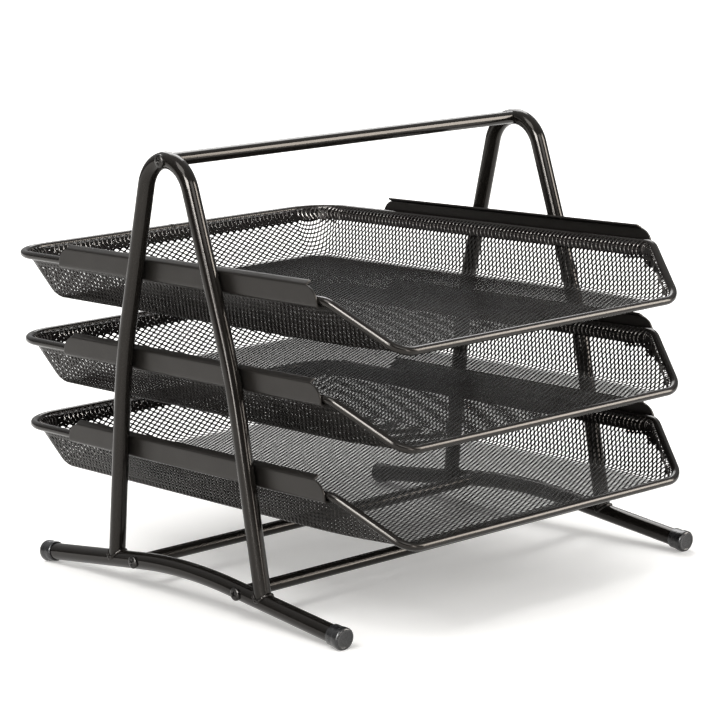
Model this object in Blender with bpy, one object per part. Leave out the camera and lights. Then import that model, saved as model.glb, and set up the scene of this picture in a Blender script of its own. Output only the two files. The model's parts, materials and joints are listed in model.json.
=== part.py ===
"""Letter tray: three sliding mesh trays in a steel tube frame with a carrying handle.

Metres, +Z up. X = 0 is the middle of the width, Y = 0 the middle of the trays' depth and Z = 0
the surface it stands on. The trays' low fronts face -Y, and the trays slide out that way.
"""

import math

import bmesh
import bpy
from mathutils import Quaternion, Vector

MM = 0.001
GAP = 0.3 * MM  # kept between pieces that touch or are welded

# Side frames
HALF_SPAN = 139.8 * MM  # from the middle of the object to a side frame's plane
FRAME_Y = -11.5 * MM  # middle of the side frames
TUBE_WALL = 0.9 * MM
HOOP_D = 10.1 * MM
ARCH_RADIUS = 22 * MM
ARCH_TOP_Z = 263.7 * MM
UPPER_LEAN = 0.298  # run per rise of the upper legs
LOWER_LEAN = 0.147
LEG_BEND_Z = 141.4 * MM
LEG_BEND_RADIUS = 390 * MM
BASE_D = 10.6 * MM
BASE_PEAK_Z = 22.4 * MM  # where the two halves of a base tube would meet without its bend
BASE_FALL = 0.112
BASE_SHIFT = 2.2 * MM  # of the base tubes' middle behind the frames' middle
BASE_BEND_RADIUS = 400 * MM

# Foot caps
CAP_D = 13.4 * MM
CAP_LIP_D = 12.2 * MM
CAP_LENGTH = 10.5 * MM
CAP_FLOOR = 2.6 * MM  # thickness of the closed end
CAP_END_Y = 145 * MM  # from the base tube's middle to the cap's outer face

# Bars and screws
BAR_D = 8 * MM
CROSS_BARS = {"front": -52.3 * MM, "rear": 47.3 * MM}  # from the frames' middle
SCREW_D = 4 * MM
SCREW_HOLE_D = 4.6 * MM
SCREW_LENGTH = 22 * MM
TAPPED_DEPTH = 17 * MM
HEAD_D = 8 * MM
HEAD_HEIGHT = 2.2 * MM
RECESS_DEPTH = 1.5 * MM
RECESS_REACH = 2.4 * MM  # from the head's middle to the end of an arm of its cross
RECESS_HALF_SLOT = 0.45 * MM
SPOT_DEPTH = 0.45 * MM  # flat pressed into a tube under a screw head
SPOT_D = 8.8 * MM

# Trays
TIERS = {"top": 193 * MM, "middle": 138 * MM, "bottom": 83 * MM}  # height of each rim's wire
WIRE_D = 5 * MM
RIM_X = 130.4 * MM
RIM_Y = 176 * MM
RIM_BACK_CORNER = 28 * MM
RIM_FRONT_CORNER = 15 * MM
SLOPE_Y = -138.2 * MM  # where the rim starts to slope down to the front
SLOPE_DROP = 27.5 * MM
SLOPE_INSET = 20.4 * MM  # how much nearer the middle the rim is at its front corners
SLOPE_BEND = 12 * MM
SHEET = 1.2 * MM  # expanded metal and rail sheet alike
EDGE_INSET = 3.4 * MM  # from the wire's middle to the basket's edge
EDGE_Z = 1 * MM
FRONT_LIP = 1.7 * MM  # the edge's height over the floor at the front
FLOOR_Z = -29.4 * MM  # middle of the basket's floor, from the rim
FLOOR_X = 111.5 * MM  # where a side wall would meet the floor without its bend
FLOOR_BACK_Y = 157 * MM
FLOOR_CORNER = 10 * MM
FLOOR_BEND = 7 * MM  # between the floor and a wall
CORNER_BEND = 13 * MM  # the same in the two back corners
FLOOR_BORDER = 8.8 * MM  # width of the strips round the flat of the floor
TAPER_Y = -100 * MM  # where the floor starts to narrow towards the front
TAPER = 12 * MM

# Guide rails
RAIL_LENGTH = 247 * MM
RAIL_SHIFT = 0.5 * MM  # of the rails' middle behind the frames' middle
RAIL_CORNER = 10.5 * MM
WEB_TOP = 8.6 * MM  # from the rim's wire
LIP_IN, LIP_UP = 3.2 * MM, 1.8 * MM
FLANGE = 6.2 * MM

SIDES = 12  # of a round tube, wire or screw
CAP_SIDES = 16
UP = Vector((0, 0, 1))
OUT = Vector((1, 0, 0))
BACK = Vector((0, 1, 0))


def clear_scene():
    for obj in list(bpy.data.objects):
        bpy.data.objects.remove(obj)


def material(name, colour, roughness, metallic):
    made = bpy.data.materials.new(name)
    made.use_nodes = True
    shader = made.node_tree.nodes["Principled BSDF"]
    shader.inputs["Base Color"].default_value = (*colour, 1)
    shader.inputs["Roughness"].default_value = roughness
    shader.inputs["Metallic"].default_value = metallic
    return made


def empty(name, place, turn=0.0):
    made = bpy.data.objects.new(name, None)
    made.location = place
    made.rotation_euler.z = turn
    bpy.context.scene.collection.objects.link(made)
    return made


def mesh_of(name, bm, sharp=35):
    """A mesh whose faces point out, shaded smooth up to the given angle in degrees."""
    bmesh.ops.recalc_face_normals(bm, faces=bm.faces)
    mesh = bpy.data.meshes.new(name)
    bm.to_mesh(mesh)
    bm.free()
    mesh.shade_smooth()
    mesh.set_sharp_from_angle(angle=math.radians(sharp))
    return mesh


def place(name, mesh, paint, parent=None, at=(0, 0, 0)):
    if not mesh.materials:
        mesh.materials.append(paint)
    obj = bpy.data.objects.new(name, mesh)
    obj.location = at
    obj.parent = parent
    bpy.context.scene.collection.objects.link(obj)
    return obj


def subtract(obj, mesh):
    """Cuts a closed shape, given in the object's own axes, out of the object."""
    cutter = bpy.data.objects.new(obj.name + "_cutter", mesh)
    cutter.parent = obj
    cutter.hide_render = True
    cutter.display_type = "WIRE"
    bpy.context.scene.collection.objects.link(cutter)
    cut = obj.modifiers.new("cut", "BOOLEAN")
    cut.operation = "DIFFERENCE"
    cut.object = cutter


def rounded(corners, radii, steps, closed=False):
    """Straight runs between the corners, with each corner but a path's ends turned into an arc."""
    points = []
    for i, (corner, radius, count) in enumerate(zip(corners, radii, steps)):
        if not radius:
            points.append(corner)
            continue
        back = (corners[i - 1] - corner).normalized()
        ahead = (corners[(i + 1) % len(corners)] - corner).normalized()
        half_turn = (math.pi - back.angle(ahead)) / 2
        reach = radius * math.tan(half_turn)
        centre = corner + (back + ahead).normalized() * radius / math.cos(half_turn)
        start, end = corner + back * reach - centre, corner + ahead * reach - centre
        for step in range(count + 1):
            turned = Quaternion(start.cross(end), 2 * half_turn * step / count)
            points.append(centre + turned @ start)
    return points


def directions(path, closed):
    """The path's direction at each of its points."""
    runs = [(b - a).normalized() for a, b in zip(path, path[1:] + path[:1])]
    if closed:
        return [(runs[i - 1] + runs[i]).normalized() for i in range(len(path))]
    inner = [(a + b).normalized() for a, b in zip(runs, runs[1:-1])]
    return [runs[0], *inner, runs[-2]]


def ring(centre, along, upward, radius, sides=SIDES):
    """Points round a centre, square to along. The first is to the side of the upward direction."""
    across = along.cross(upward).normalized()
    above = across.cross(along)
    angles = [2 * math.pi * (k + 0.5) / sides for k in range(sides)]
    return [centre + radius * (math.cos(a) * across + math.sin(a) * above) for a in angles]


def skin(bm, rings, closed=False):
    """Bridges each ring of points to the next, and fills the two ends or joins them."""
    rows = [[bm.verts.new(point) for point in points] for points in rings]
    pairs = list(zip(rows, rows[1:]))
    if closed:
        pairs.append((rows[-1], rows[0]))
    else:
        bm.faces.new(rows[0])
        bm.faces.new(rows[-1])
    for first, second in pairs:
        for k in range(len(first)):
            bm.faces.new((first[k - 1], first[k], second[k], second[k - 1]))


def coped(points, along, centre, axis, radius):
    """The points moved along a direction until they meet a round tube's surface."""
    moved = []
    run = along - along.dot(axis) * axis
    for point in points:
        off = point - centre
        off -= off.dot(axis) * axis
        slant = off.dot(run)
        depth = slant * slant - run.dot(run) * (off.dot(off) - radius * radius)
        moved.append(point - along * (slant + math.sqrt(depth)) / run.dot(run))
    return moved


def base_z(y):
    """Height of a base tube's middle line beyond its bend, at a distance from its middle."""
    return BASE_PEAK_Z - BASE_FALL * abs(y)


def hoop_path(shift):
    """The hoop's middle line in its own plane, to feet on a base tube shifted by that much."""
    lean = math.atan(UPPER_LEAN)
    centre_z = ARCH_TOP_Z - ARCH_RADIUS
    peak_z = centre_z + ARCH_RADIUS / math.sin(lean)
    bend_y = (peak_z - LEG_BEND_Z) * UPPER_LEAN
    bend = Vector((0, bend_y, LEG_BEND_Z))
    half = [Vector((0, 0, peak_z)), bend, leg_foot(bend, shift)]
    other = [half[1], leg_foot(bend, -shift)]
    corners = half[::-1] + [Vector((0, -point.y, point.z)) for point in other]
    return rounded(corners, (0, LEG_BEND_RADIUS, ARCH_RADIUS, LEG_BEND_RADIUS, 0), (0, 4, 12, 4, 0))


def leg_foot(bend, shift):
    """Where a lower leg's middle line meets the base tube's, below its bend at +Y."""
    drop = bend.z - BASE_PEAK_Z - BASE_FALL * shift
    y = (bend.y + LOWER_LEAN * drop) / (1 - LOWER_LEAN * BASE_FALL)
    return Vector((0, y, base_z(y - shift)))


def hollow_tube(path, diameter, trim=None):
    """Rings of a tube with open ends: out along its outside and back along its bore."""
    ways = directions(path, closed=False)
    rings = []
    for radius, order in ((diameter / 2, 1), (diameter / 2 - TUBE_WALL, -1)):
        rows = [ring(p, way, OUT, radius) for p, way in zip(path, ways)]
        if trim:
            rows[0] = trim(rows[0], path[0], -ways[0])
            rows[-1] = trim(rows[-1], path[-1], ways[-1])
        rings += rows[::order]
    return rings


def hoop_mesh(shift):
    path = hoop_path(shift)
    clearance = BASE_D / 2 + GAP

    def trim(points, foot, down):
        axis = Vector((0, math.copysign(1, foot.y), -BASE_FALL)).normalized()
        return coped([point - down * BASE_D for point in points], down, foot, axis, clearance)

    bm = bmesh.new()
    skin(bm, hollow_tube(path, HOOP_D, trim), closed=True)
    return mesh_of("hoop", bm)


def base_tube_mesh():
    end_y = CAP_END_Y - CAP_FLOOR - GAP
    corners = [Vector((0, -end_y, base_z(end_y))), Vector((0, 0, BASE_PEAK_Z))]
    corners.append(Vector((0, end_y, base_z(end_y))))
    bm = bmesh.new()
    path = rounded(corners, (0, BASE_BEND_RADIUS, 0), (0, 6, 0))
    skin(bm, hollow_tube(path, BASE_D), closed=True)
    return mesh_of("base_tube", bm)


def screw_hole_mesh(tube_d, places):
    """Through-holes for screws along X, each with a flat spot on the tube's outer side."""
    spot = tube_d / 2 - SPOT_DEPTH
    profile = (
        (-tube_d, SCREW_HOLE_D / 2),
        (spot, SCREW_HOLE_D / 2),
        (spot, SPOT_D / 2),
        (tube_d, SPOT_D / 2),
    )
    bm = bmesh.new()
    for y, z in places:
        skin(bm, [ring(Vector((x, y, z)), OUT, UP, r, CAP_SIDES) for x, r in profile])
    return mesh_of("screw_hole", bm)


def foot_cap_mesh():
    """A cap at the +Y end of a base tube, in the side frame's axes, standing on a flat land."""
    outward = Vector((0, 1, -BASE_FALL)).normalized()
    end = Vector((0, CAP_END_Y, base_z(CAP_END_Y)))
    socket = BASE_D / 2 + GAP
    full, lip = CAP_D / 2, CAP_LIP_D / 2
    profile = (
        (CAP_FLOOR, socket),
        (CAP_LENGTH, socket),
        (CAP_LENGTH, lip),
        (6.4 * MM, lip + 0.1 * MM),
        (4.4 * MM, full - 0.25 * MM),
        (3.2 * MM, full),
        (1.3 * MM, full),
        (0.4 * MM, full - 0.4 * MM),
        (0, full - 1.3 * MM),
        (0, full - 4 * MM),
    )
    rings = []
    for depth, radius in profile:
        points = ring(end - outward * depth, outward, UP, radius, CAP_SIDES)
        rings.append([Vector((p.x, p.y, max(p.z, 0))) for p in points])
    bm = bmesh.new()
    skin(bm, rings)
    return mesh_of("foot_cap", bm)


def bar_mesh(tube_d):
    """A bar along X between two tubes, its ends coped to them and tapped for a screw."""
    clearance = tube_d / 2 + GAP
    rings = []
    for side in (-1, 1):
        outward = OUT * side
        tube = OUT * HALF_SPAN * side
        near = tube - outward * tube_d
        bottom = tube - outward * (clearance + TAPPED_DEPTH)
        outer, mouth = (
            coped(ring(near, OUT, UP, radius), outward, tube, BACK, clearance)
            for radius in (BAR_D / 2, SCREW_HOLE_D / 2)
        )
        end = [ring(bottom, OUT, UP, SCREW_HOLE_D / 2), mouth, outer]
        rings += end if side < 0 else end[::-1]
    bm = bmesh.new()
    skin(bm, rings)
    return mesh_of("bar", bm)


def screw_mesh(tube_d):
    """A pan-head screw from a tube's outer side, its head on the flat spot."""
    under = tube_d / 2 - SPOT_DEPTH + GAP
    profile = (
        (under - SCREW_LENGTH, SCREW_D / 2 - 0.6 * MM),
        (under - SCREW_LENGTH + 0.8 * MM, SCREW_D / 2),
        (under, SCREW_D / 2),
        (under, HEAD_D / 2),
        (under + 0.9 * MM, HEAD_D / 2),
        (under + 1.6 * MM, HEAD_D / 2 - 0.5 * MM),
        (under + 2.05 * MM, HEAD_D / 2 - 1.5 * MM),
        (under + HEAD_HEIGHT, HEAD_D / 2 - 2.6 * MM),
    )
    bm = bmesh.new()
    skin(bm, [ring(OUT * x, OUT, UP, radius) for x, radius in profile])
    return mesh_of("screw", bm)


def recess_mesh(tube_d):
    """The cross recess of a screw head: a cross that narrows as it goes in."""
    top = tube_d / 2 - SPOT_DEPTH + GAP + HEAD_HEIGHT
    bottom = cross_outline(top - RECESS_DEPTH, 0.45 * RECESS_REACH, 0.8 * RECESS_HALF_SLOT)
    beyond = cross_outline(top + 0.5 * MM, RECESS_REACH, RECESS_HALF_SLOT)
    bm = bmesh.new()
    skin(bm, [bottom, beyond])
    return mesh_of("recess", bm)


def cross_outline(x, reach, half_slot):
    """Twelve points of an upright cross in the plane of a given X."""
    points = []
    for quarter in range(4):
        turn = quarter * math.pi / 2
        c, s = math.cos(turn), math.sin(turn)
        for y, z in ((half_slot, half_slot), (reach, half_slot), (reach, -half_slot)):
            points.append(Vector((x, y * c + z * s, z * c - y * s)))
    return points


def folded(path, thickness):
    """Outline of a sheet folded along a path of (inward, up) points, thickened to its right."""
    runs = [(b - a).normalized() for a, b in zip(path, path[1:])]
    sides = [Vector((run.y, -run.x)) for run in runs]
    offset = [sides[0]]
    offset += [(a + b) / (1 + a.dot(b)) for a, b in zip(sides, sides[1:])]
    offset.append(sides[-1])
    inner = [point + side * thickness for point, side in zip(path, offset)]
    return path + inner[::-1]


def rail_mesh():
    """A guide rail in its tier's height, along Y, its web's outer face at X = 0."""
    flange_z = -WIRE_D / 2 - GAP - SHEET
    steps = [(FLANGE, flange_z), (0, flange_z), (0, WEB_TOP), (LIP_IN, WEB_TOP + LIP_UP)]
    outline = folded([Vector(step) for step in steps], SHEET)
    ends = (-RAIL_LENGTH / 2, RAIL_LENGTH / 2)
    bm = bmesh.new()
    skin(bm, [[Vector((-p.x, y, p.y)) for p in outline] for y in ends])
    return mesh_of("rail", bm, sharp=50)


def rail_corner_mesh():
    """What rounding takes off the two top corners of a rail."""
    centre = Vector((0, RAIL_LENGTH / 2 - RAIL_CORNER, WEB_TOP - RAIL_CORNER))
    beyond, above, wide = 4 * MM, 6 * MM, 8 * MM
    quarter = [math.pi / 2 * step / 6 for step in range(7)]
    bm = bmesh.new()
    for side in (-1, 1):
        arc = [centre + RAIL_CORNER * Vector((0, math.sin(a), math.cos(a))) for a in quarter]
        arc += [arc[-1] + BACK * beyond, arc[-1] + BACK * beyond + UP * (RAIL_CORNER + above)]
        arc.append(arc[0] + UP * above)
        rings = [[Vector((x, side * p.y, p.z)) for p in arc] for x in (-wide, wide)]
        skin(bm, rings)
    return mesh_of("rail_corner", bm)


def rim_mesh():
    """The closed wire round a tray, at the height of its level run."""
    front = Vector((RIM_X - SLOPE_INSET, -RIM_Y, -SLOPE_DROP))
    half = [front, Vector((RIM_X, SLOPE_Y, 0)), Vector((RIM_X, RIM_Y, 0))]
    corners = half + mirrored(half[::-1])
    radii = (RIM_FRONT_CORNER, SLOPE_BEND, RIM_BACK_CORNER)
    path = rounded(corners, radii + radii[::-1], (5, 3, 6, 6, 3, 5), closed=True)
    ways = directions(path, closed=True)
    bm = bmesh.new()
    skin(bm, [ring(p, way, UP, WIRE_D / 2) for p, way in zip(path, ways)], closed=True)
    return mesh_of("rim", bm)


def basket_edge():
    """The basket's edge on the +X side, from the front bar to the back corner."""
    top = Vector((RIM_X - EDGE_INSET, SLOPE_Y, EDGE_Z))
    front = Vector((RIM_X - SLOPE_INSET - EDGE_INSET, EDGE_INSET - RIM_Y, FLOOR_Z + FRONT_LIP))
    middle = Vector((0, front.y, front.z))
    corners = (middle, front, top, Vector((top.x, 0, top.z)))
    radii = (0, RIM_FRONT_CORNER - EDGE_INSET, SLOPE_BEND - EDGE_INSET, 0)
    path = rounded(corners, radii, (0, 5, 3, 0))[1:-1]
    half_way = path[5].lerp(path[6], 0.5)
    return [*path[:6], half_way, *path[6:], Vector((top.x, TAPER_Y, top.z))]


def basket_row(foot, way, edge, bend):
    """Points of the sheet from the flat of the floor, through the bend at the foot, to its edge."""
    bend = min(bend, 0.8 * (edge - foot).length)
    return rounded((foot - way * FLOOR_BORDER, foot, edge), (0, bend, 0), (0, 4, 0))


def basket_rows():
    """Rows of points up the sheet on the +X side, from the front to the middle of the back."""
    rows = []
    for edge in basket_edge():
        narrow = TAPER * (max(0, TAPER_Y - edge.y) / (TAPER_Y + RIM_Y)) ** 2
        foot = Vector((min(FLOOR_X - narrow, edge.x - 1 * MM), edge.y, FLOOR_Z))
        rows.append(basket_row(foot, OUT, edge, FLOOR_BEND))
    edge_corner = RIM_BACK_CORNER - EDGE_INSET
    edge_centre = Vector((RIM_X - RIM_BACK_CORNER, RIM_Y - RIM_BACK_CORNER, EDGE_Z))
    floor_centre = Vector((FLOOR_X - FLOOR_CORNER, FLOOR_BACK_Y - FLOOR_CORNER, FLOOR_Z))
    for step in range(7):
        turn = math.pi / 2 * step / 6
        way = Vector((math.cos(turn), math.sin(turn), 0))
        foot = floor_centre + way * FLOOR_CORNER
        bend = FLOOR_BEND + (CORNER_BEND - FLOOR_BEND) * math.sin(2 * turn)
        rows.append(basket_row(foot, way, edge_centre + way * edge_corner, bend))
    return rows


def mirrored(points):
    return [Vector((-point.x, point.y, point.z)) for point in points]


def basket_mesh():
    """The pressed sheet as a surface, open at the top and down to the floor at the front."""
    right = basket_rows()
    left = [mirrored(row) for row in reversed(right)]
    bm = bmesh.new()
    rows = [[bm.verts.new(point) for point in row] for row in right + left]
    for first, second in zip(rows, rows[1:]):
        for k in range(len(first) - 1):
            bm.faces.new((first[k], first[k + 1], second[k + 1], second[k]))
    bm.faces.new([row[0] for row in rows])
    return mesh_of("basket", bm)


def build_side_frame(side, turn, paint):
    """Hoop, base tube, caps, screws and rails of one side. Local +X points out of the object."""
    x = HALF_SPAN * (1 if side == "right" else -1)
    rear = 1 if side == "right" else -1  # the way local Y points
    shift = rear * BASE_SHIFT
    frame = empty(side + "_side", (x, FRAME_Y, 0), turn)
    hoop = place(side + "_hoop", hoop_mesh(shift), paint["tube"], frame)
    subtract(hoop, screw_hole_mesh(HOOP_D, [(0, ARCH_TOP_Z)]))
    build_screw(side + "_handle_screw", HOOP_D, frame, (0, 0, ARCH_TOP_Z), paint)
    base = place(side + "_base_tube", base_tube_mesh(), paint["tube"], frame, (0, shift, 0))
    holes = []
    for name, way in (("front", -rear), ("rear", rear)):
        cap_turn = 0.0 if way > 0 else math.pi
        cap = place(f"{side}_{name}_foot_cap", foot_cap_mesh(), paint["plastic"], frame)
        cap.location.y = shift
        cap.rotation_euler.z = cap_turn
        y = rear * CROSS_BARS[name]
        z = base_z(y - shift)
        holes.append((y - shift, z))
        build_screw(f"{side}_{name}_screw", BASE_D, frame, (0, y, z), paint)
    subtract(base, screw_hole_mesh(BASE_D, holes))
    for tier, height in TIERS.items():
        spot = (-HOOP_D / 2 - GAP, rear * RAIL_SHIFT, height)
        rail = place(f"{side}_{tier}_rail", rail_mesh(), paint["sheet"], frame, spot)
        subtract(rail, rail_corner_mesh())


def build_screw(name, tube_d, frame, spot, paint):
    screw = place(name, screw_mesh(tube_d), paint["screw"], frame, spot)
    subtract(screw, recess_mesh(tube_d))


def build_bars(paint):
    place("handle_bar", bar_mesh(HOOP_D), paint["tube"], at=(0, FRAME_Y, ARCH_TOP_Z))
    cross = bar_mesh(BASE_D)
    for name, y in CROSS_BARS.items():
        spot = (0, FRAME_Y + y, base_z(y - BASE_SHIFT))
        place(name + "_cross_bar", cross, paint["tube"], at=spot)


def build_trays(paint):
    rim, basket = rim_mesh(), basket_mesh()
    for tier, height in TIERS.items():
        tray = empty(tier + "_tray", (0, 0, height))
        place(tier + "_tray_rim", rim, paint["wire"], tray)
        pan = place(tier + "_tray_basket", basket, paint["mesh"], tray)
        shell = pan.modifiers.new("sheet", "SOLIDIFY")
        shell.thickness = SHEET
        shell.offset = 0
        shell.use_even_offset = True


def main():
    clear_scene()
    paint = {
        "tube": material("tube_paint", (0.045, 0.042, 0.040), 0.32, 0.6),
        "sheet": material("rail_paint", (0.035, 0.032, 0.030), 0.45, 0.4),
        "wire": material("wire_paint", (0.045, 0.042, 0.040), 0.28, 0.6),
        "mesh": material("mesh_paint", (0.030, 0.029, 0.028), 0.50, 0.4),
        "plastic": material("cap_plastic", (0.012, 0.012, 0.013), 0.35, 0.0),
        "screw": material("screw_steel", (0.060, 0.058, 0.056), 0.35, 0.9),
    }
    build_side_frame("right", 0.0, paint)
    build_side_frame("left", math.pi, paint)
    build_bars(paint)
    build_trays(paint)


main()
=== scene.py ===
"""Looks of a letter tray: sliding trays of expanded metal in a steel tube frame with a handle.

Metres, in the CAD model's frame: +Z up, the trays' low fronts face -Y.
"""

import json
import math

import bmesh
import bpy
import numpy as np
from mathutils import Matrix, Quaternion, Vector

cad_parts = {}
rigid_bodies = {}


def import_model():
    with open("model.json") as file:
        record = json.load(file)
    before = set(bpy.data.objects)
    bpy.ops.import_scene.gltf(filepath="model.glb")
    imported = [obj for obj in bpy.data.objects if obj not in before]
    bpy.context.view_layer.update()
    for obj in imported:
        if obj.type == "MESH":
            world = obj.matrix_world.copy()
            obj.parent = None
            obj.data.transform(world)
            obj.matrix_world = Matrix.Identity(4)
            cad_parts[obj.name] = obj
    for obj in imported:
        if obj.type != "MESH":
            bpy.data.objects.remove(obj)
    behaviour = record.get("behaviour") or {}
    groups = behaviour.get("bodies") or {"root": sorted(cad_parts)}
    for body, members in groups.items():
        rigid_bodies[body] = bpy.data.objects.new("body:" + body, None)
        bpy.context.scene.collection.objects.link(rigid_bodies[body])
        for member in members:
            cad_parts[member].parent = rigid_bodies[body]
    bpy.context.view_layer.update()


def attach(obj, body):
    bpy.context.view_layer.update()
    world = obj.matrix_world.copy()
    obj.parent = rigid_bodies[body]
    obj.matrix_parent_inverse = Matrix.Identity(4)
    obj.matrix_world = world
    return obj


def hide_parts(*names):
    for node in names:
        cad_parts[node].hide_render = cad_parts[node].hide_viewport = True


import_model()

MM = 0.001
UP, OUT, BACK = Vector((0, 0, 1)), Vector((1, 0, 0)), Vector((0, 1, 0))

# Side frames
HALF_SPAN = 139.8 * MM
FRAME_Y = -11.5 * MM
TUBE_WALL = 0.9 * MM
HOOP_D = 10.1 * MM
ARCH_RADIUS = 22 * MM
ARCH_TOP_Z = 263.7 * MM
UPPER_LEAN = 0.298
LOWER_LEAN = 0.147
LEG_BEND_Z = 141.4 * MM
LEG_BEND_RADIUS = 390 * MM
BASE_D = 10.6 * MM
BASE_PEAK_Z = 22.4 * MM
BASE_FALL = 0.112
BASE_SHIFT = 2.2 * MM  # of the base tubes' middle behind the frames' middle
BASE_BEND_RADIUS = 400 * MM
CAP_D = 13.4 * MM
CAP_LIP_D = 12.2 * MM
CAP_LENGTH = 10.5 * MM
CAP_FLOOR = 2.6 * MM
CAP_END_Y = 145 * MM
CAP_NECK_END = 6.6 * MM
CAP_ROLL = 1.3 * MM
CAP_SWELL = ((5.4, 0.42), (4.4, 0.16), (3.2, 0))  # mm from the end, mm short of the full radius
CAP_DISH = ((0.02, 1.6), (0.22, 1.9), (0.28, 2.8))  # mm into the face, mm in from its edge
BAR_D = 8 * MM
CROSS_BARS = {"front": -52.3 * MM, "rear": 47.3 * MM}  # from the frames' middle
SCREW_D = 4 * MM
SCREW_HOLE_D = 4.6 * MM
SCREW_LENGTH = 22 * MM
TAPPED_DEPTH = 17 * MM
HEAD_D = 8 * MM
HEAD_HEIGHT = 2.2 * MM
HEAD_SKIRT = 0.8 * MM  # the head's upright part, below its crown
RECESS_DEPTH = 1.5 * MM
RECESS_TIP, RECESS_MOUTH = (1.1 * MM, 0.34 * MM), (2.5 * MM, 0.5 * MM)  # reach, half a slot's width
SPOT_DEPTH = 0.45 * MM
SPOT_D = 8.8 * MM
GAP = 0.3 * MM
SNUG = 0.02 * MM
TOUCH = 0.1 * MM  # that a welded foot sinks in and its bead stands off
WELD_BEAD = 1.15 * MM

# Trays
TIERS = {"top": 193 * MM, "middle": 138 * MM, "bottom": 83 * MM}
WIRE_D = 5 * MM
RIM_X = 130.4 * MM
RIM_Y = 176 * MM
RIM_BACK_CORNER = 28 * MM
RIM_FRONT_CORNER = 15 * MM
SLOPE_Y = -138.2 * MM
SLOPE_DROP = 27.5 * MM
SLOPE_INSET = 20.4 * MM
SLOPE_BEND = 12 * MM
EDGE_INSET = 2.2 * MM
EDGE_Z = 0.6 * MM
FRONT_LIP = 1.7 * MM
FLOOR_Z = -29.4 * MM
FLOOR_X = 111.5 * MM
FLOOR_BACK_Y = 157 * MM
FLOOR_CORNER = 10 * MM
FLOOR_BEND = 7 * MM
CORNER_BEND = 13 * MM
FLOOR_BORDER = 8.8 * MM
TAPER_Y = -100 * MM
TAPER = 12 * MM
# Places along the wire and radii there, in mm.
BUTT_BEAD = ((-1.6, 2.46), (-1.1, 2.62), (-0.4, 2.78), (0.3, 2.80), (1.0, 2.66), (1.7, 2.46))

# Expanded metal
LONG_WAY = 5.6 * MM
SHORT_WAY = 3.45 * MM
# A hole's corners, as shares of half a diamond's length and width.
HOLE_SHAPE = ((0.68, 0), (0.18, 0.52), (-0.18, 0.52), (-0.68, 0), (-0.18, -0.52), (0.18, -0.52))
SHEET = 0.42 * MM
SHEET_REACH = (210 * MM, 250 * MM)  # half the flat sheet that a basket is cut from
STRAND_TILT = 0.10 * MM
SIDE_STRETCH, BACK_STRETCH = 1.12, 1.03  # of the sheet as it is drawn up a wall
HEM = 9.5 * MM
HEM_WALL, HEM_RAMP = 26 * MM, 14 * MM  # where the hem starts to be folded, up a sloping wall
HEM_GAP = 1.2 * MM
HEM_HOLES = 0.5  # of a hole's width that is left where the sheet is pressed at its edge
SLOPE_HEM = 3.4 * MM
HOOK_PITCH, SLOPE_PITCH = 3.45 * MM, 1.3 * MM  # of the strand ends pressed over along the hem
HOOK_BULGE = 2.8 * MM
HOOK_D = 0.8 * MM
HOOK_REACH, SLOPE_REACH = 9 * MM, 4.2 * MM
HOOK_LEAST = 1.2 * MM  # of reach, or a strand end is left out
HOOK_CLEAR = 9 * MM  # of wall that is left below a strand end
HOOK_ARCH = 0.5 * MM
HOOK_STEPS = 6
SLOPE_BLEND = 8 * MM  # of a wall's top, where strand ends turn from the slope's kind to the wall's
NET_PARTS = ("front", "middle", "back")  # the meshes that each net is cut into

# Rows of the table that bends a flat sheet into a basket
SIDE_STATIONS, CORNER_STATIONS = 240, 24
STATION_STEPS = 40

# Guide rails
RAIL_LENGTH = 247 * MM
RAIL_SHIFT = 0.5 * MM
RAIL_CORNER = 10.5 * MM
RAIL_SHEET = 1.2 * MM
WEB_TOP = 8.6 * MM
LIP_IN, LIP_UP = 3.2 * MM, 1.8 * MM
FLANGE = 6.2 * MM
WEB_BEND, LIP_BEND = 1.5 * MM, 1.1 * MM
SHEET_EDGE = 0.28 * MM

# Studio
LENS, SENSOR = 131.45, 36
CAMERA_AT = (-1.040, -1.2259, 0.4284)
CAMERA_TURN = (-40.6, -10.73, -2.13)  # yaw, pitch and roll in degrees
LIT_POINT = Vector((0, 0, 0.15))
FLOOR_HALF = 9

TUBE_SIDES = 40
WIRE_SIDES = 24
FINE_SIDES = 56
SHARP = 40


# ---------------------------------------------------------------- paths and meshes


def rounded(corners, radii, steps):
    """Straight runs between the corners, with each corner that has a radius turned into an arc."""
    points = []
    for i, (corner, radius, count) in enumerate(zip(corners, radii, steps)):
        if not radius:
            points.append(corner)
            continue
        back = (corners[i - 1] - corner).normalized()
        ahead = (corners[(i + 1) % len(corners)] - corner).normalized()
        half_turn = (math.pi - back.angle(ahead)) / 2
        reach = radius * math.tan(half_turn)
        centre = corner + (back + ahead).normalized() * radius / math.cos(half_turn)
        start, end = corner + back * reach - centre, corner + ahead * reach - centre
        for step in range(count + 1):
            turned = Quaternion(start.cross(end), 2 * half_turn * step / count)
            points.append(centre + turned @ start)
    return points


def directions(path, closed):
    """The way ahead at each point of a path."""
    runs = [(b - a).normalized() for a, b in zip(path, path[1:] + path[:1])]
    if closed:
        return [(runs[i - 1] + runs[i]).normalized() for i in range(len(path))]
    inner = [(a + b).normalized() for a, b in zip(runs, runs[1:-1])]
    return [runs[0], *inner, runs[-2]]


def ring(centre, along, upward, radius, sides=TUBE_SIDES):
    """Points of a circle round a centre, across the way along."""
    across = along.cross(upward).normalized()
    above = across.cross(along)
    angles = [2 * math.pi * k / sides for k in range(sides)]
    return [centre + radius * (math.cos(a) * across + math.sin(a) * above) for a in angles]


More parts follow.
